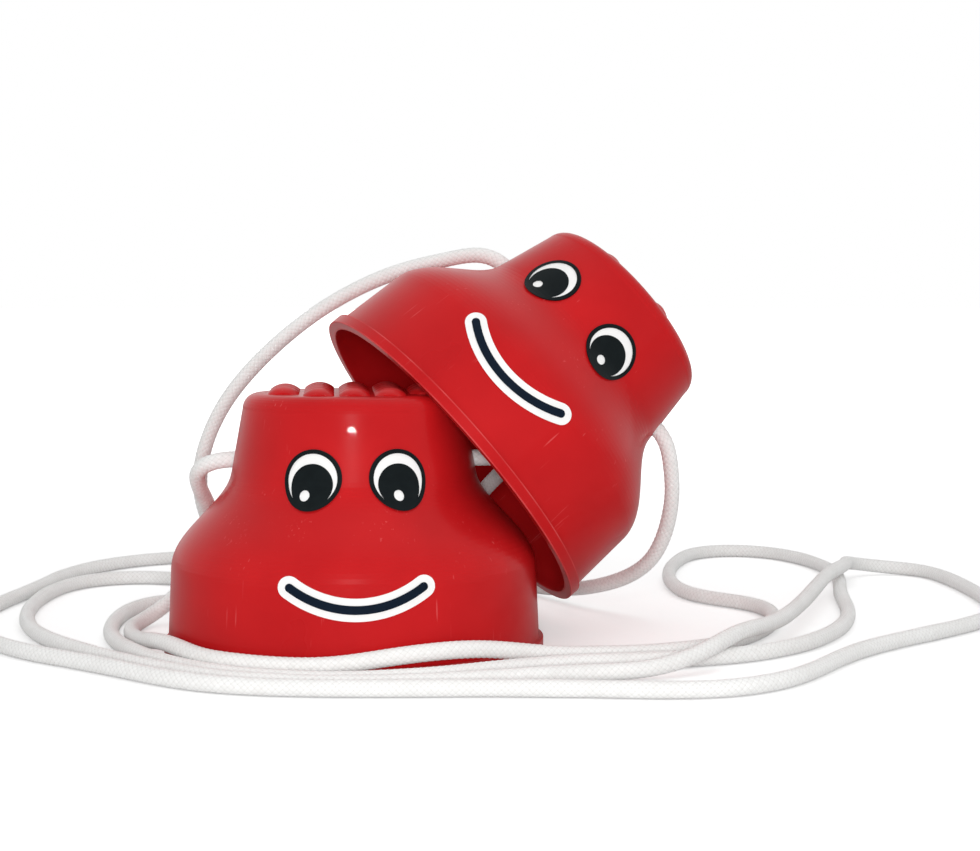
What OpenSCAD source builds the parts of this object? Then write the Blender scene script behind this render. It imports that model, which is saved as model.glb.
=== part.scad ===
// A pair of moulded cup stilts with printed faces and loop cords.
// One stilt stands on the floor, the other hangs tilted over its platform.
// Millimetres, +Z up, the faces look along -Y, the floor is z = 0.

/* [Cup] */
// height of the platform above the open end
cup_height = 108; // [95:1:140]
// outside radius of the collar round the open end
collar_radius = 80; // [74:0.5:95]
// height of the collar
collar_height = 4.8; // [3:0.1:9]
// how far the collar stands out from the skirt
collar_step = 1.8; // [0.8:0.1:3.5]
// how much the skirt narrows on its way up
skirt_draft = 1.4; // [0.5:0.1:3]
// height where the shoulder starts
shoulder_start = 35.5; // [28:0.5:42]
// height where the shoulder ends
shoulder_end = 74.5; // [68:0.5:82]
// outside radius of the waist, at the shoulder's end
waist_radius = 51.5; // [48:0.5:58]
// outside radius of the upper wall, just under the rounded edge
top_radius = 46.6; // [43:0.2:52]
// radius of the rounded edge of the platform
edge_radius = 6.5; // [4:0.5:9]
// thickness of the wall
wall = 2.6; // [1.8:0.1:4]
// thickness of the platform
platform_thickness = 3.2; // [2:0.1:5]

/* [Tread] */
// distance from pad to pad
pad_pitch = 14.5; // [13.2:0.1:17]
// width of a pad
pad_size = 12.5; // [9:0.1:13]
// height of a pad's crown above the platform
pad_rise = 3.2; // [1.5:0.1:4.5]
// radius of the round top of a pad
pad_radius = 9.5; // [8:0.1:14]
// distance from the outermost pads to the upper wall's radius
pad_margin = 5; // [3:0.5:8]

/* [Cord] */
// diameter of the cord
cord_diameter = 7; // [5:0.1:7.2]
// room between the cord and the side of its hole
hole_clearance = 0.8; // [0.4:0.1:1.5]
// height of the two side holes
hole_height = 80; // [77:0.5:92]
// length of the stopper knot
knot_length = 13.5; // [10:0.5:16]
// diameter of the stopper knot
knot_diameter = 17; // [14:0.5:20]
// room between the knot and the wall that stops it
knot_gap = 1.2; // [1:0.1:1.8]
// straight length of cord outside its hole
cord_lead = 1.5; // [1:0.5:6]

/* [Face] */
// angle from the middle of the face to an eye
eye_bearing = 19.4; // [17:0.1:26]
// height of the eyes' centres
eye_height = 75.5; // [70:0.5:84]
// how much farther round the tilted stilt's left eye is stuck on
upper_eye_shift = 8; // [0:0.1:9]
// how much higher that eye is stuck on
upper_eye_lift = 4; // [0:0.1:5]
// radius of an eye
eye_radius = 12; // [9:0.1:14]
// width of the dark ring round an eye
eye_ring = 1.7; // [0.8:0.1:3]
// radius of the dark disc in an eye
iris_radius = 8.7; // [6:0.1:9.5]
// how far that disc sits below the eye's centre
iris_drop = 2.4; // [1:0.1:4]
// radius of the light spot in an eye
glint_radius = 2.1; // [1:0.1:3]
// how far the light spot sits below the eye's centre
glint_drop = 6.2; // [4:0.1:8]
// how far the light spot of the left eye sits to the left
glint_shift = 2.4; // [0:0.1:4]
// half the span of the smile's line, straight across
smile_half_span = 26; // [20:0.5:34]
// how far the middle of the smile hangs below its ends
smile_sag = 8.3; // [4:0.1:12]
// height of the middle of the smile
smile_height = 27.5; // [20:0.5:34]
// width of the smile's white outline, from edge to edge
smile_width = 9; // [6:0.1:12]
// width of the smile's dark line
smile_line = 3.4; // [2:0.1:5]
// thickness of the white backing film
film = 0.25; // [0.15:0.05:0.6]
// thickness of the dark ink film
ink = 0.15; // [0.1:0.05:0.4]
// room under each printed layer
film_gap = 0.15; // [0.05:0.05:0.3]

/* [Pose] */
// turn of the standing stilt about its axis
lower_turn = 4.5; // [0:0.5:10]
// lean of the tilted stilt to the right
upper_tilt = 49.7; // [46:0.1:54]
// lean of the tilted stilt to the back
upper_back = 13.5; // [10:0.1:18]
// turn of the tilted stilt about its own axis
upper_turn = -11.2; // [-16:0.1:-6]
// place on the tilted stilt's open end that hangs on the platform
seat_bearing = -100; // [-104:0.5:-96]
// place on the platform's edge that carries it
seat_edge = -41; // [-46:0.5:-36]
// room between the two stilts at the seat
seat_gap = 0.4; // [0.3:0.05:1]

/* [Hidden] */
$fn = 96;

// the outside radius of the wall at a height: the skirt's line runs into the upper wall's along half a cosine
edge_low = cup_height - edge_radius;
function skirt_at(z) = collar_radius - collar_step
    - skirt_draft * (z - collar_height) / (shoulder_start - collar_height);
function upper_at_height(z) = waist_radius
    + (top_radius - waist_radius) * (z - shoulder_end) / (edge_low - shoulder_end);
function share(z) = 0.5
    - 0.5 * cos(180 * max(0, min(1, (z - shoulder_start) / (shoulder_end - shoulder_start))));
function wall_radius(z) = (1 - share(z)) * skirt_at(z) + share(z) * upper_at_height(z);
function wall_slope(z) = (wall_radius(z + 0.05) - wall_radius(z - 0.05)) / 0.1;
// a point at a distance out from the wall, square to it
function off_wall(z, d) = [wall_radius(z), z] + d * [1, -wall_slope(z)] / norm([1, wall_slope(z)]);

// the heights at which the wall's outline has its points
shoulder_steps = 20;
wall_heights = concat([collar_height],
    [for (i = [0:shoulder_steps]) shoulder_start + (shoulder_end - shoulder_start) * i / shoulder_steps],
    [edge_low]);
last = len(wall_heights) - 1;
edge_steps = 8;
ceiling = cup_height - platform_thickness;
rim_inside = collar_radius - collar_step - wall;

cup_outline = concat(
    [[rim_inside, 0], [collar_radius, 0], [collar_radius, collar_height]],
    [for (z = wall_heights) [wall_radius(z), z]],
    [for (i = [1:edge_steps]) [top_radius - edge_radius, edge_low]
        + edge_radius * [cos(90 * i / edge_steps), sin(90 * i / edge_steps)]],
    [[0, cup_height], [0, ceiling], [off_wall(edge_low, -wall).x - 2, ceiling]],
    [for (i = [last:-1:1]) off_wall(wall_heights[i], -wall)],
    [[rim_inside, collar_height]]);

hole_diameter = cord_diameter + 2 * hole_clearance;
hole_inside = wall_radius(hole_height) - wall;
hole_outside = wall_radius(hole_height);
knot_face = hole_inside - knot_gap;

pad_reach = 3;

module cup_shell() {
    rotate_extrude() polygon(cup_outline);
}

module pad() {
    intersection() {
        translate([-pad_size / 2, -pad_size / 2, cup_height - platform_thickness / 2])
            cube([pad_size, pad_size, platform_thickness / 2 + pad_rise]);
        translate([0, 0, cup_height + pad_rise - pad_radius]) sphere(r = pad_radius);
    }
}

module pads() {
    for (i = [-pad_reach:pad_reach]) {
        for (j = [-pad_reach:pad_reach]) {
            if (norm([abs(i), abs(j)] * pad_pitch + [pad_size, pad_size] / 2) <= top_radius - pad_margin)
                translate([i * pad_pitch, j * pad_pitch, 0]) pad();
        }
    }
}

module cup_solid() {
    difference() {
        union() {
            cup_shell();
            pads();
        }
        translate([0, 0, hole_height]) rotate([0, 90, 0])
            cylinder(d = hole_diameter, h = 2 * collar_radius, center = true);
    }
}

// a film that lies on the wall, from one distance out to another
ink_from = film_gap + film + film_gap;
module film_band(from, to) {
    rotate_extrude() polygon(concat(
        [for (z = wall_heights) off_wall(z, from)],
        [for (i = [last:-1:0]) off_wall(wall_heights[i], to)]));
}

// side is -1 for the eye on the left of the face and 1 for the one on the right
module at_eye(side, shift, lift) {
    rotate([0, 0, side * (eye_bearing + shift)]) translate([0, -waist_radius / 2, eye_height + lift])
        rotate([90, 0, 0]) children();
}

module disc(radius, across = 0, down = 0) {
    translate([across, -down, 0]) cylinder(r = radius, h = collar_radius);
}

module eye(side, shift = 0, lift = 0) {
    intersection() {
        film_band(film_gap, ink_from - film_gap);
        at_eye(side, shift, lift) disc(eye_radius);
    }
}

module eye_ink(side, shift = 0, lift = 0) {
    intersection() {
        film_band(ink_from, ink_from + ink);
        at_eye(side, shift, lift) difference() {
            disc(eye_radius);
            difference() {
                disc(eye_radius - eye_ring);
                disc(iris_radius, 0, iris_drop);
            }
            disc(glint_radius, side < 0 ? -glint_shift : -glint_shift / 3, glint_drop);
        }
    }
}

// the smile is an arc of a circle, with round ends
smile_radius = (smile_half_span * smile_half_span + smile_sag * smile_sag) / (2 * smile_sag);
smile_angle = asin(smile_half_span / smile_radius);

module smile_prism(width) {
    translate([0, -waist_radius, smile_height + smile_radius]) rotate([90, 0, 0]) {
        rotate([0, 0, -90 - smile_angle]) rotate_extrude(angle = 2 * smile_angle)
            translate([smile_radius - width / 2, 0]) square([width, collar_radius]);
        for (a = [-90 - smile_angle, -90 + smile_angle])
            rotate([0, 0, a]) translate([smile_radius, 0, 0]) cylinder(d = width, h = collar_radius);
    }
}

module smile() {
    intersection() {
        film_band(film_gap, ink_from - film_gap);
        smile_prism(smile_width);
    }
}

module smile_ink() {
    intersection() {
        film_band(ink_from, ink_from + ink);
        smile_prism(smile_line);
    }
}

// a stopper knot's outer form: a barrel round the cord's line, flat where it faces the wall
knot_swell = 0.5;
module knot(side) {
    rotate([0, 0, side < 0 ? 180 : 0]) translate([knot_face, 0, hole_height]) rotate([0, -90, 0])
        rotate_extrude() polygon(concat([[0, 0]],
            [for (i = [0:10])
                [knot_diameter / 2 * (knot_swell + (1 - knot_swell) * sin(18 * i)), knot_length * i / 10]],
            [[0, knot_length]]));
}

function about_x(p, a) = [p.x, p.y * cos(a) - p.z * sin(a), p.y * sin(a) + p.z * cos(a)];
function about_y(p, a) = [p.x * cos(a) + p.z * sin(a), p.y, p.z * cos(a) - p.x * sin(a)];
function about_z(p, a) = [p.x * cos(a) - p.y * sin(a), p.x * sin(a) + p.y * cos(a), p.z];
function lower_point(p) = about_z(p, lower_turn);
function upper_turned(p) = about_y(about_x(about_z(p, upper_turn), -upper_back), upper_tilt);

// the seat: the inner edge of the tilted open end lies across the rounded edge of the platform, at a tangent
seat_tangent = upper_turned([-sin(seat_bearing), cos(seat_bearing), 0]);
seat_rise = atan(-(seat_tangent.x * cos(seat_edge) + seat_tangent.y * sin(seat_edge)) / seat_tangent.z);
seat_normal = [cos(seat_rise) * cos(seat_edge), cos(seat_rise) * sin(seat_edge), sin(seat_rise)];
seat_circle = (top_radius - edge_radius) * [cos(seat_edge), sin(seat_edge), 0] + [0, 0, edge_low];
seat_rim = upper_turned(rim_inside * [cos(seat_bearing), sin(seat_bearing), 0]);
upper_place = seat_circle + (edge_radius + seat_gap) * seat_normal - seat_rim;
function upper_point(p) = upper_place + upper_turned(p);

module at_lower() {
    rotate([0, 0, lower_turn]) children();
}

module at_upper() {
    translate(upper_place) rotate([0, upper_tilt, 0]) rotate([-upper_back, 0, 0])
        rotate([0, 0, upper_turn]) children();
}

// each cord's route, chosen by hand along the strands: from its left hole to its right hole
floor_line = 3.6;
over_line = 11;
lower_route = [
    [-58.5, -3.5, 79.2], [-63.7, -0.8, 77], [-67, 3.6, 73.8], [-67.8, 8.4, 70.4], [-67.4, 16, 65.2],
    [-66.5, 24.5, 60], [-66, 33, 54], [-67, 42, 46.5], [-70, 50.5, 36.5], [-76, 56.5, 24.5], [-84, 58, 14],
    [-92, 53.5, 7], [-97.5, 43, 4], [-99, 26, floor_line], [-95.5, 6, floor_line], [-88.5, -12, 4.8],
    [-80.5, -29, 7.4], [-72, -42.5, 8.4], [-57, -63, 7.4], [-44, -73, 7], [-30, -79.5, 6.8],
    [-5, -84.8, 7.4], [18, -82.5, 10], [38, -76.5, 11.5], [58, -64, 10], [80, -51, 6], [104, -41, 4],
    [128, -33, floor_line], [147, -22, floor_line], [163, -3, floor_line], [178, 25, floor_line],
    [186, 60, floor_line], [180, 92, floor_line], [160, 116, floor_line], [150, 150, floor_line],
    [152, 205, floor_line], [162, 252, floor_line], [173, 277, floor_line], [191, 289, floor_line],
    [211, 283, floor_line], [226, 262, floor_line], [235, 230, floor_line], [237, 185, floor_line],
    [229, 130, floor_line], [224, 85, floor_line], [216, 42, floor_line], [200, 3, floor_line],
    [178, -26, floor_line], [142, -48, floor_line], [100, -56, floor_line], [66, -68, floor_line],
    [38, -84, floor_line], [12, -92, floor_line], [-12, -92.5, floor_line], [-46, -80, floor_line],
    [-66, -63, floor_line], [-82, -43, floor_line], [-98, -13, floor_line], [-107, 18, floor_line],
    [-110, 55, floor_line], [-107, 82, floor_line], [-97, 99, floor_line], [-78, 107, floor_line],
    [-44, 108, floor_line], [-14, 105, floor_line], [8, 99, 5], [24, 90, 14], [38, 76, 34],
    [51.5, 57, 57], [63, 36.5, 71.5], [66.5, 20, 77], [63, 9.5, 79.5]];
upper_route = [
    [57.5, 69, 166.2], [50.5, 70.3, 167.2], [38.5, 73, 165.2], [17, 77, 160], [-5, 79, 151],
    [-27, 80, 137.5], [-48, 80, 119.5], [-65, 80, 99], [-75, 81, 77], [-77.5, 86, 57], [-73, 98, 36],
    [-68, 116, 18], [-72.5, 140, 6], [-90, 165, floor_line], [-110, 179, floor_line],
    [-130, 180, floor_line], [-147, 168, floor_line], [-156, 144, floor_line], [-158, 105, floor_line],
    [-152, 55, floor_line], [-136, 8, floor_line], [-112, -28, floor_line], [-81, -62, floor_line],
    [-45, -90, floor_line], [-26, -97.4, floor_line], [-8, -101, floor_line], [18, -100, floor_line],
    [46, -94, floor_line], [95, -79, floor_line], [120, -74, 4.4], [141, -61, 8.4],
    [157, -37, over_line + 0.5], [176, -2, over_line - 1], [194, 42, over_line - 1], [211, 95, over_line],
    [226, 142, over_line + 0.5], [239, 176, over_line], [243, 194, 9.5], [251, 209, 7], [267, 216, 4.4],
    [283, 209, floor_line], [290, 192, floor_line], [294, 160, floor_line], [295, 115, floor_line],
    [289, 68, floor_line], [268, 33, floor_line], [232, -4, floor_line], [204, -38, floor_line],
    [183, -74, floor_line], [165, -97, floor_line], [140, -111, floor_line], [100, -111, floor_line],
    [50, -109, floor_line], [-5, -109.5, floor_line], [-53, -98, floor_line], [-95, -64, floor_line],
    [-130, -35, floor_line], [-155, -4, floor_line], [-171, 40, floor_line], [-174, 90, floor_line],
    [-168, 140, floor_line], [-163, 190, floor_line], [-147, 232, floor_line], [-118, 258, floor_line],
    [-75, 262, floor_line], [-25, 245, floor_line], [20, 216, floor_line], [56, 178, floor_line],
    [84, 136, 5], [104, 103, 10], [121, 82, 18], [133, 66, 31], [138.5, 56, 50], [139, 50, 64.5],
    [137.5, 47.5, 77], [136, 47, 83.5]];

// what runs from the knot's flat face through the hole comes before and after the route
function lead(side) = [[side * knot_face, 0, hole_height], [side * (hole_outside + 0.5), 0, hole_height],
    [side * (hole_outside + cord_lead), 0, hole_height]];
function backwards(list) = [for (i = [len(list) - 1:-1:0]) list[i]];
lower_line = concat([for (p = lead(-1)) lower_point(p)], lower_route,
    backwards([for (p = lead(1)) lower_point(p)]));
upper_line = concat([for (p = lead(-1)) upper_point(p)], upper_route,
    backwards([for (p = lead(1)) upper_point(p)]));

// a tube of flat sides along a line: each ring is turned as little as its run allows
cord_sides = 10;
function unit(v) = v / norm(v);
function heading(line, i) = i == 0 ? unit(line[1] - line[0])
    : i == len(line) - 1 ? unit(line[i] - line[i - 1])
    : unit(unit(line[i + 1] - line[i]) + unit(line[i] - line[i - 1]));
function square_to(v, t) = unit(v - (v * t) * t);
function across(line, i, v) = i == len(line) ? []
    : let (w = square_to(v, heading(line, i))) concat([w], across(line, i + 1, w));
function rings(line, r) = let (side = across(line, 0, [0.1, 0.2, 1]))
    [for (i = [0:len(line) - 1]) let (t = heading(line, i), u = side[i], w = cross(t, u))
        for (k = [0:cord_sides - 1])
            line[i] + r * (cos(360 * k / cord_sides) * u + sin(360 * k / cord_sides) * w)];
function tube_faces(count) = concat(
    [for (k = [1:cord_sides - 2]) [0, k, k + 1]],
    [for (i = [0:count - 2]) for (k = [0:cord_sides - 1]) let (a = i * cord_sides, m = (k + 1) % cord_sides)
        [a + k, a + cord_sides + k, a + m]],
    [for (i = [0:count - 2]) for (k = [0:cord_sides - 1]) let (a = i * cord_sides, m = (k + 1) % cord_sides)
        [a + m, a + cord_sides + k, a + cord_sides + m]],
    [for (k = [1:cord_sides - 2]) let (a = (count - 1) * cord_sides) [a, a + k + 1, a + k]]);
module tube(line) {
    polyhedron(points = rings(line, cord_diameter / 2), faces = tube_faces(len(line)), convexity = 10);
}

cup_red = "firebrick";
module lower_cup() { color(cup_red) at_lower() cup_solid(); }
module lower_left_eye() { color("white") at_lower() eye(-1); }
module lower_left_eye_ink() { color("black") at_lower() eye_ink(-1); }
module lower_right_eye() { color("white") at_lower() eye(1); }
module lower_right_eye_ink() { color("black") at_lower() eye_ink(1); }
module lower_smile() { color("white") at_lower() smile(); }
module lower_smile_ink() { color("midnightblue") at_lower() smile_ink(); }
module lower_left_knot() { color("linen") at_lower() knot(-1); }
module lower_right_knot() { color("linen") at_lower() knot(1); }
module lower_cord() { color("linen") tube(lower_line); }
module upper_cup() { color(cup_red) at_upper() cup_solid(); }
module upper_left_eye() { color("white") at_upper() eye(-1, upper_eye_shift, upper_eye_lift); }
module upper_left_eye_ink() { color("black") at_upper() eye_ink(-1, upper_eye_shift, upper_eye_lift); }
module upper_right_eye() { color("white") at_upper() eye(1); }
module upper_right_eye_ink() { color("black") at_upper() eye_ink(1); }
module upper_smile() { color("white") at_upper() smile(); }
module upper_smile_ink() { color("midnightblue") at_upper() smile_ink(); }
module upper_left_knot() { color("linen") at_upper() knot(-1); }
module upper_right_knot() { color("linen") at_upper() knot(1); }
module upper_cord() { color("ivory") tube(upper_line); }

lower_cup();
lower_left_eye();
lower_left_eye_ink();
lower_right_eye();
lower_right_eye_ink();
lower_smile();
lower_smile_ink();
lower_left_knot();
lower_right_knot();
lower_cord();
upper_cup();
upper_left_eye();
upper_left_eye_ink();
upper_right_eye();
upper_right_eye_ink();
upper_smile();
upper_smile_ink();
upper_left_knot();
upper_right_knot();
upper_cord();
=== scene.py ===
# %% [markdown]
# # A pair of cup stilts
#
# Two red moulded cups, each with a printed face and a loop of soft white cord. One stands on its open end,
# the other hangs tilted over the first one's platform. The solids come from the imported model, and this
# lesson dresses them: it lays the braided cords, ties their knots, and gives every surface a finish.

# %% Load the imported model
import math

import bpy
import numpy as np
from mathutils import Matrix


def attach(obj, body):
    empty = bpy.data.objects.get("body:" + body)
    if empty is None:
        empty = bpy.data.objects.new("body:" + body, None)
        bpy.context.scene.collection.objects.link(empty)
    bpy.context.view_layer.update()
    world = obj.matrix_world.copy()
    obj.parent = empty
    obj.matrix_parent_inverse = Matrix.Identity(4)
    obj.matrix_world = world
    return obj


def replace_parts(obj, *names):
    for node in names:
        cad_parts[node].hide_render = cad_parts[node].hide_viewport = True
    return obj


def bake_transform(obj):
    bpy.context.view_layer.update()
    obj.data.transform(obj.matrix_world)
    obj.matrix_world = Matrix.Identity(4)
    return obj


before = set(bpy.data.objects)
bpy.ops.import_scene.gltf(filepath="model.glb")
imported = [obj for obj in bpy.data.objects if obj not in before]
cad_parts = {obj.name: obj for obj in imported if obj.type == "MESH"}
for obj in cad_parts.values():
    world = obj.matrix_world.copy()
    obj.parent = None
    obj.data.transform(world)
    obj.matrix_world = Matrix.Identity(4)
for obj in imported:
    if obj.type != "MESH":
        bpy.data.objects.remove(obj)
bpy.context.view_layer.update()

# %% [markdown]
# ## The camera
#
# The photograph looks a little down on the stilts from about 0.8 m. A camera can be guessed by eye, but two
# cups of the same known shape are a better guide: their rims and edges fix the distance, the height and the
# lens together. The numbers below come from such a fit. A focal length in pixels times the sensor width
# over the picture's width gives the lens in millimetres.

# %% Camera
PICTURE_WIDTH = 980
FOCAL_PIXELS = 2000
CAMERA_PLACE = (0.0574, -0.842, 0.149)
CAMERA_DIP = 3.744
camera_data = bpy.data.cameras.new("camera")
camera_data.sensor_width = 36
camera_data.lens = camera_data.sensor_width * FOCAL_PIXELS / PICTURE_WIDTH
camera_data.clip_end = 50
camera = bpy.data.objects.new("camera", camera_data)
camera.location = CAMERA_PLACE
camera.rotation_euler = (math.radians(90 - CAMERA_DIP), 0, 0)
bpy.context.scene.collection.objects.link(camera)
bpy.context.scene.camera = camera
print("lens", round(camera_data.lens, 2), "mm")

# %% [markdown]
# ## Where the two cups stand
#
# Each cord starts and ends at a side hole of its cup, 80 mm above the open end. In the cup's own frame that
# is easy to write down, so two small functions carry points from a cup's frame into the room: the standing
# cup is only turned about its axis, the tilted one is turned three times and then moved to its seat.

# %% From a cup's frame to the room
MM = 0.001


def turn(axis, degrees):
    """A 3 by 3 matrix that turns points about one axis: cosines on the diagonal, plus and minus sines
    beside it."""
    c, s = math.cos(math.radians(degrees)), math.sin(math.radians(degrees))
    matrix = np.eye(3)
    first, second = {"x": (1, 2), "y": (2, 0), "z": (0, 1)}[axis]
    matrix[first, first] = matrix[second, second] = c
    matrix[first, second], matrix[second, first] = -s, s
    return matrix


LOWER_BEARING = 4.5
LOWER_TURN = turn("z", LOWER_BEARING)
UPPER_TILT, UPPER_BACK, UPPER_BEARING = 49.7, -13.5, -11.2
UPPER_TURN = turn("y", UPPER_TILT) @ turn("x", UPPER_BACK) @ turn("z", UPPER_BEARING)
UPPER_SEAT = np.array([38.868, 39.211, 75.152]) * MM


def lower_place(points):
    """Points of the standing cup's frame in the room: one turn about the upright axis."""
    return np.asarray(points, float) @ LOWER_TURN.T


def upper_place(points):
    """Points of the tilted cup's frame in the room: turned to its lean, then moved to its seat."""
    return np.asarray(points, float) @ UPPER_TURN.T + UPPER_SEAT


HOLE_HEIGHT, KNOT_FACE, HOLE_OUTSIDE, LEAD_END = 80 * MM, 46.7 * MM, 50.5 * MM, 52 * MM
print("tilted cup's axis", np.round(UPPER_TURN[:, 2], 3))

# %% [markdown]
# ## The cords' routes
#
# A soft cord is a fixed length of something limp. Each one leaves its left hole, falls to the floor,
# wanders in the wide loops that the picture shows, and comes back up to the right hole. A simulation could
# let it fall, but then it would not lie where it was photographed, so the route is a list of points along
# the strands, in millimetres. They are the points of the solid cords, so each dressed cord lies where its
# solid is.

# %% Route points
FLOOR_LINE, OVER_LINE = 3.6, 11.0
f, v = FLOOR_LINE, OVER_LINE
lower_route = [
    (-58.5, -3.5, 79.2), (-63.7, -0.8, 77), (-67, 3.6, 73.8), (-67.8, 8.4, 70.4), (-67.4, 16, 65.2),
    (-66.5, 24.5, 60), (-66, 33, 54), (-67, 42, 46.5), (-70, 50.5, 36.5), (-76, 56.5, 24.5), (-84, 58, 14),
    (-92, 53.5, 7), (-97.5, 43, 4), (-99, 26, f), (-95.5, 6, f), (-88.5, -12, 4.8), (-80.5, -29, 7.4),
    (-72, -42.5, 8.4), (-57, -63, 7.4), (-44, -73, 7), (-30, -79.5, 6.8), (-5, -84.8, 7.4),
    (18, -82.5, 10), (38, -76.5, 11.5), (58, -64, 10), (80, -51, 6), (104, -41, 4), (128, -33, f),
    (147, -22, f), (163, -3, f), (178, 25, f), (186, 60, f), (180, 92, f), (160, 116, f), (150, 150, f),
    (152, 205, f), (162, 252, f), (173, 277, f), (191, 289, f), (211, 283, f), (226, 262, f),
    (235, 230, f), (237, 185, f), (229, 130, f), (224, 85, f), (216, 42, f), (200, 3, f), (178, -26, f),
    (142, -48, f), (100, -56, f), (66, -68, f), (38, -84, f), (12, -92, f), (-12, -92.5, f), (-46, -80, f),
    (-66, -63, f), (-82, -43, f), (-98, -13, f), (-107, 18, f), (-110, 55, f), (-107, 82, f), (-97, 99, f),
    (-78, 107, f), (-44, 108, f), (-14, 105, f), (8, 99, 5), (24, 90, 14), (38, 76, 34), (51.5, 57, 57),
    (63, 36.5, 71.5), (66.5, 20, 77), (63, 9.5, 79.5)]
upper_route = [
    (57.5, 69, 166.2), (50.5, 70.3, 167.2), (38.5, 73, 165.2), (17, 77, 160), (-5, 79, 151),
    (-27, 80, 137.5), (-48, 80, 119.5), (-65, 80, 99), (-75, 81, 77), (-77.5, 86, 57), (-73, 98, 36),
    (-68, 116, 18), (-72.5, 140, 6), (-90, 165, f), (-110, 179, f), (-130, 180, f), (-147, 168, f),
    (-156, 144, f), (-158, 105, f), (-152, 55, f), (-136, 8, f), (-112, -28, f), (-81, -62, f),
    (-45, -90, f), (-26, -97.4, f), (-8, -101, f), (18, -100, f), (46, -94, f), (95, -79, f),
    (120, -74, 4.4), (141, -61, 8.4), (157, -37, v + 0.5), (176, -2, v - 1), (194, 42, v - 1),
    (211, 95, v), (226, 142, v + 0.5), (239, 176, v), (243, 194, 9.5), (251, 209, 7), (267, 216, 4.4),
    (283, 209, f), (290, 192, f), (294, 160, f), (295, 115, f), (289, 68, f), (268, 33, f), (232, -4, f),
    (204, -38, f), (183, -74, f), (165, -97, f), (140, -111, f), (100, -111, f), (50, -109, f),
    (-5, -109.5, f), (-53, -98, f), (-95, -64, f), (-130, -35, f), (-155, -4, f), (-171, 40, f),
    (-174, 90, f), (-168, 140, f), (-163, 190, f), (-147, 232, f), (-118, 258, f), (-75, 262, f),
    (-25, 245, f), (20, 216, f), (56, 178, f), (84, 136, 5), (104, 103, 10), (121, 82, 18), (133, 66, 31),
    (138.5, 56, 50), (139, 50, 64.5), (137.5, 47.5, 77), (136, 47, 83.5)]


def with_leads(place, route):
    """The route between two leads: each lead runs from the knot's face straight out through the hole."""
    lead = np.array([[KNOT_FACE, 0, HOLE_HEIGHT], [LEAD_END, 0, HOLE_HEIGHT]])
    left, right = lead * (-1, 1, 1), lead[::-1]
    return np.vstack([place(left), np.array(route) * MM, place(right)])


lower_points = with_leads(lower_place, lower_route)
upper_points = with_leads(upper_place, upper_route)
print("route points", len(lower_points), "and", len(upper_points))

# %% [markdown]
# ## From points to one smooth line
#
# Straight pieces between the points would kink. A cubic spline goes through every point with no jump in
# slope or bend, and its two ends are held to the direction of the holes. A short running average over a few
# millimetres then rounds what is still tight, as a cord's own thickness does. All of it is done on whole
# arrays.

# %% Smooth line
CORD_DIAMETER = 7 * MM
RING_STEP = 0.65 * MM
ROUNDING = 4 * MM
SPAN_STEPS = 40


def cubic_spline(points, count):
    """Clamped cubic spline: the bends at the points solve one linear system, so that slopes agree at every
    point and at both ends follow the end spans. Its parameter grows with the square root of each span's
    length."""
    t = np.concatenate([[0], np.cumsum(np.linalg.norm(np.diff(points, axis=0), axis=1) ** 0.5)])
    h = np.diff(t)
    slope = np.diff(points, axis=0) / h[:, None]
    system = np.diag(2 * (np.r_[h, 0] + np.r_[0, h])) + np.diag(h, 1) + np.diag(h, -1)
    jump = np.vstack([np.zeros(3), 6 * np.diff(slope, axis=0), np.zeros(3)])
    bend = np.linalg.solve(system, jump)
    at = np.linspace(0, t[-1], count)
    i = np.clip(np.searchsorted(t, at, side="right") - 1, 0, len(h) - 1)
    a, b = ((t[i + 1] - at) / h[i])[:, None], ((at - t[i]) / h[i])[:, None]
    curve = (a ** 3 - a) * bend[i] + (b ** 3 - b) * bend[i + 1]
    return a * points[i] + b * points[i + 1] + curve * (h[i] ** 2 / 6)[:, None]


def even_steps(line, step):
    """The same line with points at even distances: each coordinate is interpolated over the running
    length."""
    run = np.concatenate([[0], np.cumsum(np.linalg.norm(np.diff(line, axis=0), axis=1))])
    at = np.linspace(0, run[-1], int(round(run[-1] / step)) + 1)
    return np.stack([np.interp(at, run, line[:, k]) for k in range(3)], axis=1)


def rounded(line, width):
    """Running average with bell-shaped weights. Past each end the line is continued by its own mirror image
    through the end point, so both ends stay where they are."""
    reach = int(3 * width / RING_STEP)
    weights = np.exp(-0.5 * (np.arange(-reach, reach + 1) * RING_STEP / width) ** 2)
    weights /= weights.sum()
    before, after = 2 * line[0] - line[reach:0:-1], 2 * line[-1] - line[-2:-reach - 2:-1]
    longer = np.vstack([before, line, after])
    return np.stack([np.convolve(longer[:, k], weights, mode="valid") for k in range(3)], axis=1)


def cord_line(points):
    """Spline, even steps, running average, and never lower than the cord's own radius above the floor."""
    smooth = cubic_spline(points, SPAN_STEPS * len(points))
    line = rounded(even_steps(smooth, RING_STEP), ROUNDING)
    line[:, 2] = np.maximum(line[:, 2], CORD_DIAMETER / 2)
    return even_steps(line, RING_STEP)


lower_line, upper_line = cord_line(lower_points), cord_line(upper_points)

# %% [markdown]
# ## The braided surface
#
# The cord is a soft tubular braid: eight strands wind one way and eight the other, over and under, so the
# surface is a field of small pillows. It could be a plain tube with a bump map, but the pillows also break
# the outline, so they are part of the mesh: a circle is carried along the line, and its radius swells and
# sinks with the two windings.

# %% Tube along a line
SIDES = 24
STRANDS = 8
STITCH = 2.6 * MM
GROOVE_DEPTH = 0.3 * MM
SWELL, SWELL_WAVE, SWELL_DRIFT = 0.05 * MM, 9 * MM, 37 * MM
SLANTED = np.array([0.31, -0.76, 0.57])


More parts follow.
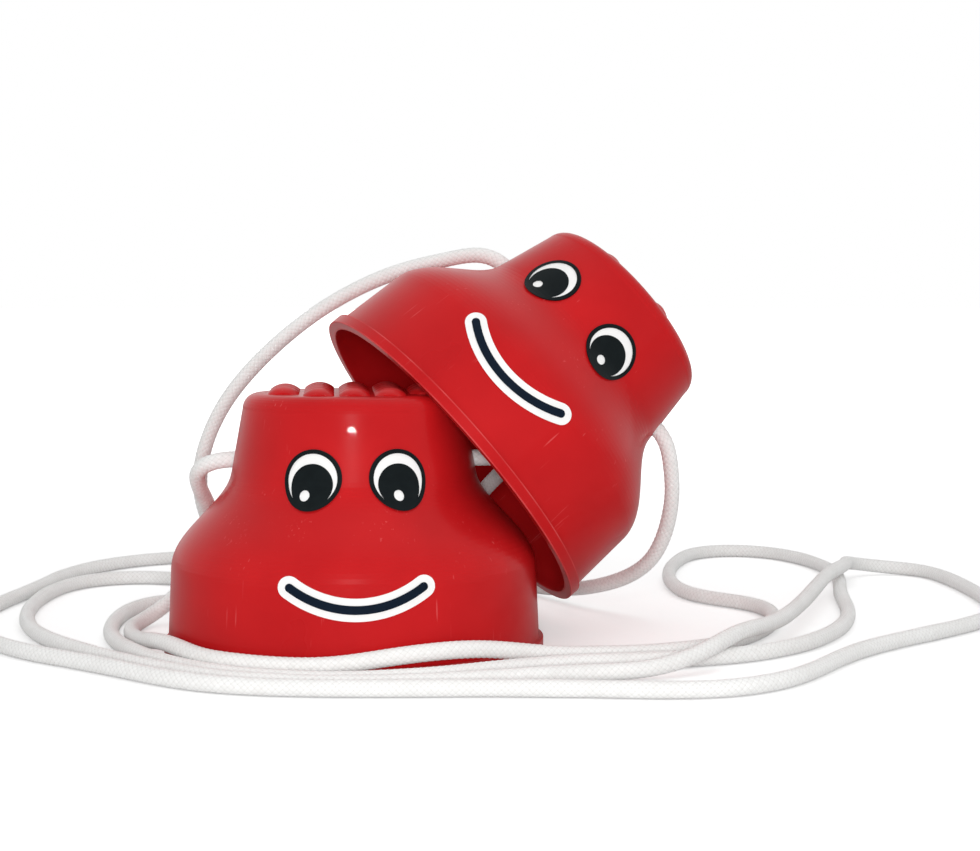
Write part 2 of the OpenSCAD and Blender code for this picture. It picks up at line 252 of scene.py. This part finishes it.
def steady_frames(line):
    """Two directions square to the line that don't spin: start from the tangent's cross product with a
    fixed slanted direction, add up how far that pair turns about the tangent from ring to ring, and turn it
    back by the sum."""
    tangent = np.gradient(line, axis=0)
    tangent /= np.linalg.norm(tangent, axis=1)[:, None]
    side = np.cross(tangent, SLANTED)
    side /= np.linalg.norm(side, axis=1)[:, None]
    over = np.cross(tangent, side)
    steps = np.sum(np.diff(side, axis=0) * (over[1:] + over[:-1]) / 2, axis=1)
    spin = np.r_[0, np.cumsum(steps)][:, None]
    back = np.cos(spin) * side - np.sin(spin) * over
    square = np.sin(spin) * side + np.cos(spin) * over
    return back, square


def braid_relief(angle, run):
    """Pillow height from 0 to 1: the square root of the product of two sine waves without their signs, one
    on each winding, so that it is zero along both families of grooves and highest in the middle of each
    stitch."""
    one = STRANDS * angle / (2 * math.pi) + run / STITCH
    other = STRANDS * angle / (2 * math.pi) - run / STITCH
    return np.sqrt(np.abs(np.sin(math.pi * one) * np.sin(math.pi * other)))


def tube_points(line, radius, depth=0.0, sides=SIDES):
    """A circle carried along the line: centre plus radius times cosine and sine of the angle in the steady
    frame, less the braid's grooves, with a slow swell of a few hundredths of a millimetre."""
    side, over = steady_frames(line)
    angle = np.linspace(0, 2 * math.pi, sides, endpoint=False)
    run = np.concatenate([[0], np.cumsum(np.linalg.norm(np.diff(line, axis=0), axis=1))])
    relief = braid_relief(angle[None, :], run[:, None]) - 1
    swell = SWELL * np.sin(run / SWELL_WAVE + 2 * np.sin(run / SWELL_DRIFT))
    reach = (radius + swell[:, None] + depth * relief)[:, :, None]
    cosine, sine = np.cos(angle)[None, :, None], np.sin(angle)[None, :, None]
    round_it = cosine * side[:, None, :] + sine * over[:, None, :]
    return line[:, None, :] + reach * round_it, run


def tube_faces(rings, sides, closed=False):
    """Four corners for each face of a grid of rings and sides, which closes round the tube and, if asked,
    end to end."""
    ring, k = np.meshgrid(np.arange(rings if closed else rings - 1), np.arange(sides), indexing="ij")
    after, m = (ring + 1) % rings, (k + 1) % sides
    corners = np.stack([ring * sides + k, ring * sides + m, after * sides + m, after * sides + k], axis=-1)
    return corners.reshape(-1, 4)


def tube_uv(rings, sides, run, closed=False):
    """Across is the share of the way round, along is the run in stitches; each face's far corners take the
    next value, so the pattern closes without a seam."""
    ring, k = np.meshgrid(np.arange(rings if closed else rings - 1), np.arange(sides), indexing="ij")
    along = np.append(run, 2 * run[-1] - run[-2]) / STITCH
    across = np.stack([k, k + 1, k + 1, k], axis=-1) / sides
    onward = along[np.stack([ring, ring, ring + 1, ring + 1], axis=-1)]
    return np.stack([across, onward], axis=-1).reshape(-1, 2)


def new_piece(name, points, faces, caps=(), uv=None):
    """A mesh object at the origin from arrays of points and faces, smooth, with its pattern map."""
    mesh = bpy.data.meshes.new(name)
    mesh.from_pydata(points.reshape(-1, 3).tolist(), [], faces.tolist() + [list(c) for c in caps])
    if uv is not None:
        rest = sum(len(c) for c in caps)
        layer = mesh.uv_layers.new(name="Pattern")
        layer.uv.foreach_set("vector", np.vstack([uv, np.zeros((rest, 2))]).astype(np.float32).ravel())
    mesh.shade_smooth()
    mesh.validate()
    piece = bpy.data.objects.new(name, mesh)
    bpy.context.scene.collection.objects.link(piece)
    return piece


def braided_cord(name, line):
    """The cord along its line, closed by a flat cap at each end, where the knots hide it."""
    points, run = tube_points(line, CORD_DIAMETER / 2, depth=GROOVE_DEPTH)
    rings = len(line)
    caps = (range(SIDES - 1, -1, -1), range((rings - 1) * SIDES, rings * SIDES))
    return new_piece(name, points, tube_faces(rings, SIDES), caps, tube_uv(rings, SIDES, run))


lower_cord = braided_cord("lower_braided_cord", lower_line)
upper_cord = braided_cord("upper_braided_cord", upper_line)
print("cord faces", len(lower_cord.data.polygons), "and", len(upper_cord.data.polygons))

# %% [markdown]
# ## The stopper knots
#
# Inside the cup an overhand knot keeps each end of the cord from slipping out. Such a knot is a trefoil
# with its two ends pulled along one line. A trefoil has a simple formula: it winds three times through a
# ring while it goes twice round it. The tube along that line is pulled tight, so it is thinner than the
# free cord, and a short tail with a slightly flared cut end sticks out on the inner side.

# %% Knots
KNOT_CORD = 5.4 * MM
KNOT_RING, KNOT_CORE = 4.4, 2.7
KNOT_RINGS, KNOT_SIDES, TAIL_RINGS = 200, 16, 24
KNOT_GROOVE = 0.25 * MM
KNOT_HALF = 6.2 * MM
TAIL_TIP = (-14 * MM, 0.8 * MM, -2.2 * MM)
TAIL_FLARE = 0.18
OVERLAP = 3


def trefoil(count):
    """Twice round a ring of 4.4 mm radius, three times through it at 2.7 mm from its core; the ring's axis
    is x."""
    t = np.linspace(0, 2 * math.pi, count, endpoint=False)
    out = (KNOT_RING + KNOT_CORE * np.cos(3 * t)) * MM
    return np.stack([KNOT_CORE * MM * np.sin(3 * t), out * np.cos(2 * t), out * np.sin(2 * t)], axis=1)


def stopper_knot(name, place, side):
    """Knot and tail as two tubes in one mesh, moved to the hole's inner face; side is -1 left and 1
    right."""
    loop = trefoil(KNOT_RINGS)
    longer = np.vstack([loop[-OVERLAP:], loop, loop[:OVERLAP]])
    tube = tube_points(longer, KNOT_CORD / 2, depth=KNOT_GROOVE, sides=KNOT_SIDES)
    knot, run = (values[OVERLAP:-OVERLAP] for values in tube)
    tail_line = np.linspace((0, 0, 0), TAIL_TIP, TAIL_RINGS)
    tail, tail_run = tube_points(tail_line, KNOT_CORD / 2, depth=KNOT_GROOVE, sides=KNOT_SIDES)
    flare = 1 + TAIL_FLARE * np.linspace(0, 1, TAIL_RINGS)[:, None, None] ** 6
    tail = tail_line[:, None, :] + (tail - tail_line[:, None, :]) * flare
    points = np.concatenate([knot.reshape(-1, 3), tail.reshape(-1, 3)])
    points = points + (KNOT_FACE - KNOT_HALF, 0, 0)
    points = place(points * (side, side, 1) + (0, 0, HOLE_HEIGHT))
    start = len(knot) * KNOT_SIDES
    end = start + TAIL_RINGS * KNOT_SIDES
    knot_faces = tube_faces(len(knot), KNOT_SIDES, closed=True)
    faces = np.vstack([knot_faces, tube_faces(TAIL_RINGS, KNOT_SIDES) + start])
    caps = (range(start + KNOT_SIDES - 1, start - 1, -1), range(end - KNOT_SIDES, end))
    knot_uv = tube_uv(len(knot), KNOT_SIDES, run, closed=True)
    uv = np.vstack([knot_uv, tube_uv(TAIL_RINGS, KNOT_SIDES, tail_run)])
    return new_piece(name, points, faces, caps, uv)


knots = {}
for stilt, place in (("lower", lower_place), ("upper", upper_place)):
    for hand, side in (("left", -1), ("right", 1)):
        knot = stopper_knot(f"{stilt}_{hand}_tied_knot", place, side)
        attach(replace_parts(knot, f"{stilt}_{hand}_knot"), f"{stilt}_stilt")
        knots[stilt, hand] = knot
print("knots", [len(k.data.polygons) for k in knots.values()])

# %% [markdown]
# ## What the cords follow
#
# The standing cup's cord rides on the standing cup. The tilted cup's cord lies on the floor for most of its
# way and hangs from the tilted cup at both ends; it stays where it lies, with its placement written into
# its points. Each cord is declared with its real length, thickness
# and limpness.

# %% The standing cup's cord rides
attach(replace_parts(lower_cord, "lower_cord"), "lower_stilt")
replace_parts(upper_cord, "upper_cord")
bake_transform(upper_cord)

# %% [markdown]
# ## Small helpers for finishes
#
# Each finish is a handful of shader nodes: coordinates, a pattern, and a principled shader. A few short
# helpers keep the cells below readable: one makes a node and sets its values, one links two sockets, and
# one starts a material.

# %% Node helpers


def start_finish(name):
    """A new material with an empty node tree, its principled shader and its output."""
    material = bpy.data.materials.new(name)
    material.use_nodes = True
    material.node_tree.nodes.clear()
    shader = add_node(material, "ShaderNodeBsdfPrincipled")
    output = add_node(material, "ShaderNodeOutputMaterial")
    join(material, shader.outputs[0], output.inputs["Surface"])
    return material, shader


def add_node(material, kind, sockets=(), **settings):
    """One node of that kind: settings are its own properties, sockets its input values by name or
    number."""
    made = material.node_tree.nodes.new(kind)
    for key, value in settings.items():
        setattr(made, key, value)
    for key, value in dict(sockets).items():
        made.inputs[key].default_value = value
    return made


def join(material, source, target):
    """A link from an output socket to an input socket."""
    material.node_tree.links.new(source, target)


def sums(material, operation, first, second=None, third=None, clamp=False):
    """A Math node; an argument is a socket to link or a plain number. Returns its result."""
    made = add_node(material, "ShaderNodeMath", operation=operation, use_clamp=clamp)
    for slot, value in zip(made.inputs, (first, second, third)):
        if isinstance(value, (int, float)):
            slot.default_value = value
        elif value is not None:
            join(material, value, slot)
    return made.outputs[0]


def ramp(material, source, stops):
    """A colour ramp fed by source: stops are (position, grey or colour)."""
    made = add_node(material, "ShaderNodeValToRGB")
    while len(made.color_ramp.elements) < len(stops):
        made.color_ramp.elements.new(0.5)
    for element, (position, colour) in zip(made.color_ramp.elements, stops):
        element.position = position
        element.color = (colour,) * 3 + (1,) if isinstance(colour, (int, float)) else (*colour, 1)
    join(material, source, made.inputs[0])
    return made.outputs[0]


def mixed(material, factor, first, second):
    """Two colours mixed by a socket; a Mix node has its colours at inputs 6 and 7 and at output 2."""
    made = add_node(material, "ShaderNodeMix", data_type="RGBA")
    join(material, factor, made.inputs["Factor"])
    for slot, value in ((made.inputs[6], first), (made.inputs[7], second)):
        if isinstance(value, tuple):
            slot.default_value = (*value, 1)
        else:
            join(material, value, slot)
    return made.outputs[2]


def noise(material, vector, scale, detail=2.0, roughness=0.5):
    """Cloudy noise from 0 to 1: the scale is its number of clouds to a metre."""
    sockets = {"Scale": scale, "Detail": detail, "Roughness": roughness}
    made = add_node(material, "ShaderNodeTexNoise", sockets)
    join(material, vector, made.inputs["Vector"])
    return made.outputs[0]


def bumped(material, shader, height, distance, strength=1.0):
    """Tilts the shader's normal as if the surface rose by height times the distance in metres."""
    made = add_node(material, "ShaderNodeBump", {"Strength": strength, "Distance": distance})
    join(material, height, made.inputs["Height"])
    join(material, made.outputs[0], shader.inputs["Normal"])


print("helpers ready")

# %% [markdown]
# ## Red moulded plastic
#
# The cups are injection-moulded in a bright red. New plastic is even in colour, but a toy that has been
# walked on has fine scratches, dull rubbed places, and a surface that is never quite flat. So the colour
# drifts a little between two reds, long thin scratches raise the roughness, and a soft ripple bends the
# highlights. The sharp edges of collar and open end are painted pale in patches, a painted highlight where
# light would glint on them, and the crowns of the pads are rubbed by shoes. The pattern is laid in each
# cup's own frame by a mapping node, so that scratches run up and down the wall and the pale edges find
# their place.

# %% Red plastic
COLLAR_RADIUS, COLLAR_HEIGHT, RIM_INSIDE, PLATFORM = 80 * MM, 4.8 * MM, 75.6 * MM, 108 * MM
# The palest red is both rubbed wear and the painted highlight on the sharp edges.
RED_DEEP, RED_BRIGHT, RED_RUBBED_AND_HIGHLIGHT = (0.475, 0.0078, 0.0100), (0.550, 0.0105, 0.0128), (0.78, 0.15, 0.15)
EDGE_NEAR_UP, EDGE_NEAR_OUT = 0.5 * MM, 0.7 * MM
CROWN_FROM, CROWN_TO = PLATFORM + 1.2 * MM, PLATFORM + 3 * MM
CLOUDS, RUBS, WAVES, GRAIN = 26, 55, 120, 1500
SCRATCH_STRETCH = (900, 900, 26)
RIPPLE_HEIGHT = 0.04 * MM


def painted_edge_highlight(material, cup):
    """Painted highlight mask, one on the sharp edges of the collar and of the open end: where the height is
    within 0.5 mm and the distance from the axis within 0.7 mm of such an edge's. It paints a pale line
    where light would glint on the edge."""
    apart = add_node(material, "ShaderNodeSeparateXYZ")
    join(material, cup, apart.inputs[0])
    x, y, up = apart.outputs
    squares = [sums(material, "MULTIPLY", across, across) for across in (x, y)]
    out = sums(material, "SQRT", sums(material, "ADD", *squares))
    edges = [sums(material, "MULTIPLY", sums(material, "COMPARE", up, height, EDGE_NEAR_UP),
                  sums(material, "COMPARE", out, reach, EDGE_NEAR_OUT))
             for height, reach in ((COLLAR_HEIGHT, COLLAR_RADIUS), (0, COLLAR_RADIUS), (0, RIM_INSIDE))]
    return sums(material, "MAXIMUM", edges[0], sums(material, "MAXIMUM", edges[1], edges[2]))


def pad_crowns(material, cup):
    """Grows from nought to one over the top of the pads, which shoes rub dull."""
    apart = add_node(material, "ShaderNodeSeparateXYZ")
    join(material, cup, apart.inputs[0])
    grow = add_node(material, "ShaderNodeMapRange", {"From Min": CROWN_FROM, "From Max": CROWN_TO})
    join(material, apart.outputs[2], grow.inputs["Value"])
    return grow.outputs[0]


def red_plastic(name, place, lean):
    """Glossy red in a cup's own frame: two reds by a slow noise, scratches where a noise stretched upright
    is high and a second one allows it, paler, duller plastic on the pads' crowns rubbed by shoes, and a
    paler, duller red on the sharp edges as a painted highlight."""
    material, shader = start_finish(name)
    room = add_node(material, "ShaderNodeTexCoord").outputs["Object"]
    frame_of_cup = {"Location": place, "Rotation": lean}
    local = add_node(material, "ShaderNodeMapping", frame_of_cup, vector_type="TEXTURE")
    join(material, room, local.inputs["Vector"])
    cup = local.outputs[0]
    cloud = noise(material, cup, CLOUDS, 3)
    red = mixed(material, ramp(material, cloud, [(0.3, 0.0), (0.7, 1.0)]), RED_DEEP, RED_BRIGHT)
    stretch = add_node(material, "ShaderNodeMapping", {"Scale": SCRATCH_STRETCH})
    join(material, cup, stretch.inputs["Vector"])
    lines = noise(material, stretch.outputs[0], 1.0, 1.0)
    rubbed = noise(material, cup, RUBS, 2)
    scratch = sums(material, "MULTIPLY", ramp(material, lines, [(0.68, 0.0), (0.74, 1.0)]),
                   ramp(material, rubbed, [(0.52, 0.0), (0.66, 1.0)]))
    patches = ramp(material, rubbed, [(0.35, 0.25), (0.6, 1.0)])
    # Painted highlight: the sharp edges are painted pale in patches; the scratches add real wear.
    edge_highlight_and_scratches = sums(material, "MULTIPLY_ADD", painted_edge_highlight(material, cup), patches, scratch)
    trodden = ramp(material, rubbed, [(0.35, 0.3), (0.65, 1.0)])
    crowns = sums(material, "MULTIPLY", pad_crowns(material, cup), trodden)
    wear_and_edge_highlight = sums(material, "MULTIPLY_ADD", crowns, 0.3, sums(material, "MULTIPLY", edge_highlight_and_scratches, 0.4), clamp=True)
    join(material, mixed(material, wear_and_edge_highlight, red, RED_RUBBED_AND_HIGHLIGHT), shader.inputs["Base Color"])
    rough = sums(material, "MULTIPLY_ADD", cloud, 0.10, 0.24)
    join(material, sums(material, "MULTIPLY_ADD", wear_and_edge_highlight, 0.5, rough), shader.inputs["Roughness"])
    waves, grain = noise(material, cup, WAVES, 1), noise(material, cup, GRAIN, 0)
    ripple = sums(material, "MULTIPLY_ADD", waves, 0.4, grain)
    bumped(material, shader, ripple, RIPPLE_HEIGHT, 0.35)
    shader.inputs["Specular IOR Level"].default_value = 0.09
    shader.inputs["Coat Weight"].default_value = 0.06
    shader.inputs["Coat Roughness"].default_value = 0.015
    return material


upper_lean = Matrix(UPPER_TURN.tolist()).to_euler("XYZ")
lower_red = red_plastic("red_plastic_standing", (0, 0, 0), (0, 0, math.radians(LOWER_BEARING)))
upper_red = red_plastic("red_plastic_tilted", tuple(UPPER_SEAT), tuple(upper_lean))
print("red", [round(math.degrees(a), 1) for a in upper_lean])

# %% [markdown]
# ## White film, black and navy print
#
# Eyes and smile are printed films: a white layer with dark ink on it. Print on plastic is glossy and a
# little uneven. A flat colour would look like a hole, so each gets a faint mottle and a soft orange-peel
# bump. The eyes' films are dark round their edge as well, so that no white line shows beside the ring.

# %% Printed layers
FILM_PALE, FILM_DEEP, RIM_INK = (0.93, 0.93, 0.92), (0.86, 0.86, 0.85), (0.004, 0.007, 0.008)
EYE_RADIUS, EYE_BEARING, EYE_HEIGHT = 12 * MM, 19.4, 75.5 * MM
ODD_EYE_SHIFT, ODD_EYE_LIFT = 8, 4 * MM
INKED_EDGE = 0.8 * MM
FILM_SHINE, FILM_GLOSS, INK_SHINE, INK_GLOSS = 0.3, 0.2, 0.35, 0.09
MOTTLE, PEEL, PEEL_HEIGHT = 320, 1400, 0.03 * MM


def printed_layer(name, pale, deep, shine, gloss):
    """Print or film: two near tones mixed by a fine noise, which also moves the roughness a little above
    shine; gloss is the strength of its reflections."""
    material, shader = start_finish(name)
    room = add_node(material, "ShaderNodeTexCoord").outputs["Object"]
    mottle = noise(material, room, MOTTLE, 3)
    join(material, mixed(material, mottle, deep, pale), shader.inputs["Base Color"])
    join(material, sums(material, "MULTIPLY_ADD", mottle, 0.12, shine), shader.inputs["Roughness"])
    bumped(material, shader, noise(material, room, PEEL, 1), PEEL_HEIGHT, 0.3)
    shader.inputs["Specular IOR Level"].default_value = gloss
    return material


def eye_film(name, lean, seat, bearing, height):
    """The white film of one eye, with the ring's ink on its edge as well: a mapping node lays the pattern
    along the eye's own axis, and what is farther from that axis than the ring's middle is dark."""
    material = printed_layer(name, FILM_PALE, FILM_DEEP, FILM_SHINE, FILM_GLOSS)
    shader = next(n for n in material.node_tree.nodes if n.type == "BSDF_PRINCIPLED")
    white = shader.inputs["Base Color"].links[0].from_socket
    centre = seat + lean @ np.array([0, 0, height])
    angles = tuple(Matrix((lean @ turn("z", bearing)).tolist()).to_euler("XYZ"))
    frame_of_eye = {"Location": tuple(centre), "Rotation": angles}
    local = add_node(material, "ShaderNodeMapping", frame_of_eye, vector_type="TEXTURE")
    join(material, add_node(material, "ShaderNodeTexCoord").outputs["Object"], local.inputs["Vector"])
    flat = add_node(material, "ShaderNodeVectorMath", {1: (1, 0, 1)}, operation="MULTIPLY")
    join(material, local.outputs[0], flat.inputs[0])
    away = add_node(material, "ShaderNodeVectorMath", operation="LENGTH")
    join(material, flat.outputs[0], away.inputs[0])
    rim = sums(material, "GREATER_THAN", away.outputs["Value"], EYE_RADIUS - INKED_EDGE)
    join(material, mixed(material, rim, white, RIM_INK), shader.inputs["Base Color"])
    return material


odd_eye = (-EYE_BEARING - ODD_EYE_SHIFT, EYE_HEIGHT + ODD_EYE_LIFT)
eye_films = {
    name: eye_film(f"{name}_film", lean, seat, bearing, height)
    for name, lean, seat, bearing, height in (
        ("lower_left_eye", LOWER_TURN, np.zeros(3), -EYE_BEARING, EYE_HEIGHT),
        ("lower_right_eye", LOWER_TURN, np.zeros(3), EYE_BEARING, EYE_HEIGHT),
        ("upper_left_eye", UPPER_TURN, UPPER_SEAT, *odd_eye),
        ("upper_right_eye", UPPER_TURN, UPPER_SEAT, EYE_BEARING, EYE_HEIGHT))}
white_film = printed_layer("white_film", FILM_PALE, FILM_DEEP, FILM_SHINE, FILM_GLOSS)
black_ink = printed_layer("black_ink", (0.006, 0.010, 0.011), (0.002, 0.004, 0.005), INK_SHINE, INK_GLOSS)
navy_ink = printed_layer("navy_ink", (0.004, 0.012, 0.026), (0.002, 0.006, 0.014), INK_SHINE, INK_GLOSS)
print("printed layers", white_film.name, black_ink.name, navy_ink.name)

# %% [markdown]
# ## Braided cord finish
#
# The cord is off-white synthetic yarn. Each stitch of the braid shows its fibres along one winding or the
# other, with painted shade in the grooves between. The piece's own map gives the way round and the run in
# stitches, so sums of the two give the windings. A chequer of whole stitches says which winding lies on
# top, fine lines along it are the fibres, the same product of sines as in the mesh deepens the grooves in
# the bump and darkens them as painted shade, and each stitch has a tone of its own by chance.

# %% Cord finish
FIBRES, SOIL, FUZZ = 5, 45, 2600
YARN_HEIGHT = 0.25 * MM
# The third yarn colour is painted shade for the braid's grooves.
YARN_PALE, YARN_DULL, YARN_GROOVE_SHADE = (0.95, 0.95, 0.94), (0.86, 0.855, 0.84), (0.76, 0.75, 0.73)


def braid_finish(name):
    """White yarn on the braid's own map: the two windings are the way round plus and minus the run. Their
    sines give the pillows and the fibres, and the low ground between the pillows is painted shade in the
    grooves; whole stitches give the chequer and each stitch's tone, and a slow noise the soil."""
    material, shader = start_finish(name)
    pattern = add_node(material, "ShaderNodeUVMap", uv_map="Pattern").outputs[0]
    apart = add_node(material, "ShaderNodeSeparateXYZ")
    join(material, pattern, apart.inputs[0])
    around, run = sums(material, "MULTIPLY", apart.outputs[0], STRANDS), apart.outputs[1]
    one, other = sums(material, "ADD", around, run), sums(material, "SUBTRACT", around, run)
    waves = [sums(material, "SINE", sums(material, "MULTIPLY", w, math.pi)) for w in (one, other)]
    crowns = [sums(material, "ABSOLUTE", wave) for wave in waves]
    pillow = sums(material, "SQRT", sums(material, "MULTIPLY", *crowns))
    whole = [sums(material, "FLOOR", w) for w in (one, other)]
    chequer = sums(material, "PINGPONG", sums(material, "ADD", *whole), 1.0)
    threads = [sums(material, "MULTIPLY", w, 2 * math.pi * FIBRES) for w in (one, other)]
    fibres = [sums(material, "SINE", thread) for thread in threads]
    fibre = add_node(material, "ShaderNodeMix", data_type="FLOAT")
    for slot, source in ((0, chequer), (2, fibres[0]), (3, fibres[1])):
        join(material, source, fibre.inputs[slot])
    stitch = add_node(material, "ShaderNodeCombineXYZ")
    for slot, winding in zip(stitch.inputs, whole):
        join(material, winding, slot)
    tone = add_node(material, "ShaderNodeTexWhiteNoise", noise_dimensions="2D")
    join(material, stitch.outputs[0], tone.inputs["Vector"])
    room = add_node(material, "ShaderNodeTexCoord").outputs["Object"]
    soil = ramp(material, noise(material, room, SOIL, 3), [(0.35, 0.0), (0.7, 0.55)])
    mottle = sums(material, "MULTIPLY_ADD", tone.outputs["Value"], 0.45, soil)
    yarn = mixed(material, mottle, YARN_PALE, YARN_DULL)
    # Painted shade: the yarn is darker in the grooves between the pillows.
    groove_shade = ramp(material, pillow, [(0.0, 0.0), (0.45, 1.0)])
    shade = mixed(material, groove_shade, YARN_GROOVE_SHADE, yarn)
    join(material, shade, shader.inputs["Base Color"])
    fuzz = noise(material, room, FUZZ, 2)
    soft = sums(material, "MULTIPLY_ADD", fuzz, 0.3, pillow)
    height = sums(material, "MULTIPLY_ADD", fibre.outputs[0], 0.12, soft)
    bumped(material, shader, height, YARN_HEIGHT, 0.6)
    shader.inputs["Roughness"].default_value = 0.85
    shader.inputs["Sheen Weight"].default_value = 0.3
    shader.inputs["Sheen Roughness"].default_value = 0.5
    return material


cord_finish = braid_finish("braided_cord")
print("cord finish", len(cord_finish.node_tree.nodes), "nodes")

# %% [markdown]
# ## Every piece gets its finish
#
# The solids that stay in view take their finish through their material slots; the new pieces get theirs the
# same way.

# %% Give out the finishes


def dress(piece, material):
    """One finish in all of a piece's material slots."""
    piece.data.materials.clear()
    piece.data.materials.append(material)
    for slot in piece.material_slots:
        slot.material = material


for name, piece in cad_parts.items():
    if name.endswith("_cup"):
        dress(piece, lower_red if name.startswith("lower") else upper_red)
    elif name.endswith("smile_ink"):
        dress(piece, navy_ink)
    elif name.endswith("_ink"):
        dress(piece, black_ink)
    elif name.endswith("_eye"):
        dress(piece, eye_films[name])
    elif name.endswith("_smile"):
        dress(piece, white_film)
for piece in (lower_cord, upper_cord, *knots.values()):
    dress(piece, cord_finish)

# %% [markdown]
# ## Floor, backdrop and light
#
# The picture has a pure white ground. The floor is a pale matt sheet that still takes the stilts' shadow,
# and the world is white where the camera or a reflection sees it, and gentler where it lights. One narrow
# bar lamp above the viewer gives the bright spot on the standing cup, a small one by the lens reaches into
# the tilted cup, and a large soft one fills in from above.

# %% Floor
FLOOR_REACH = 20
FLOOR_GLOW = [(0.15, 0.42), (0.6, 1.0)]


def pale_floor():
    """A square sheet of four corners at the floor's height, wide enough to reach the horizon in the
    picture. It shades as matt paper near the stilts and fades to plain white within about a metre, for the
    camera only."""
    corners = np.array([[-1, -1, 0], [1, -1, 0], [1, 1, 0], [-1, 1, 0]], float) * FLOOR_REACH
    sheet = new_piece("floor", corners, np.array([[0, 1, 2, 3]]))
    material, shader = start_finish("pale_floor")
    shader.inputs["Base Color"].default_value = (0.8, 0.8, 0.8, 1)
    shader.inputs["Roughness"].default_value = 0.9
    shader.inputs["Specular IOR Level"].default_value = 0.0
    seen = add_node(material, "ShaderNodeLightPath").outputs["Is Camera Ray"]
    shader.inputs["Emission Color"].default_value = (1, 1, 1, 1)
    away = add_node(material, "ShaderNodeVectorMath", operation="LENGTH")
    join(material, add_node(material, "ShaderNodeTexCoord").outputs["Object"], away.inputs[0])
    glow = ramp(material, sums(material, "MULTIPLY", away.outputs["Value"], 0.5), FLOOR_GLOW)
    join(material, sums(material, "MULTIPLY", seen, glow), shader.inputs["Emission Strength"])
    dress(sheet, material)
    return sheet


floor = pale_floor()
print("floor", floor.name)

# %% World and lamps
ROOM_LIGHT = 0.56
scene = bpy.context.scene
scene.view_settings.view_transform = "Standard"
world = bpy.data.worlds.new("white_room")
scene.world = world
world.use_nodes = True
background = next(n for n in world.node_tree.nodes if n.type == "BACKGROUND")
background.inputs["Color"].default_value = (1, 1, 1, 1)
rays = add_node(world, "ShaderNodeLightPath").outputs
straight = sums(world, "MAXIMUM", rays["Is Camera Ray"], rays["Is Transmission Ray"])
seen = sums(world, "MAXIMUM", straight, rays["Is Glossy Ray"])
level = add_node(world, "ShaderNodeMapRange", {"To Min": ROOM_LIGHT, "To Max": 1.0})
join(world, seen, level.inputs["Value"])
join(world, level.outputs[0], background.inputs["Strength"])


def soft_lamp(name, place, aim, width, height, power, mirrored=False):
    """A flat lamp at a place, turned so that its face looks at the aim. Only one that is mirrored shows
    itself in glossy surfaces; the others light them without a reflection."""
    data = bpy.data.lights.new(name, "AREA")
    data.shape = "RECTANGLE"
    data.size, data.size_y, data.energy = width, height, power
    lamp = bpy.data.objects.new(name, data)
    lamp.location = place
    away = np.array(place, float) - np.array(aim, float)
    tip = math.acos(away[2] / np.linalg.norm(away))
    lamp.rotation_euler = (tip, 0, math.atan2(away[1], away[0]) + math.pi / 2)
    lamp.visible_glossy = mirrored
    scene.collection.objects.link(lamp)
    return lamp


soft_lamp("bar_by_viewer", (0.04, -1.49, 0.523), (0, 0, 0.09), 0.22, 0.007, 2.8, mirrored=True)
soft_lamp("fill_by_lens", (0.05, -0.9, 0.16), (0.04, 0, 0.1), 0.12, 0.12, 2.9)
soft_lamp("top_softbox", (0.4, 0.1, 1.8), (0.05, 0.05, 0.05), 1.6, 1.6, 6)
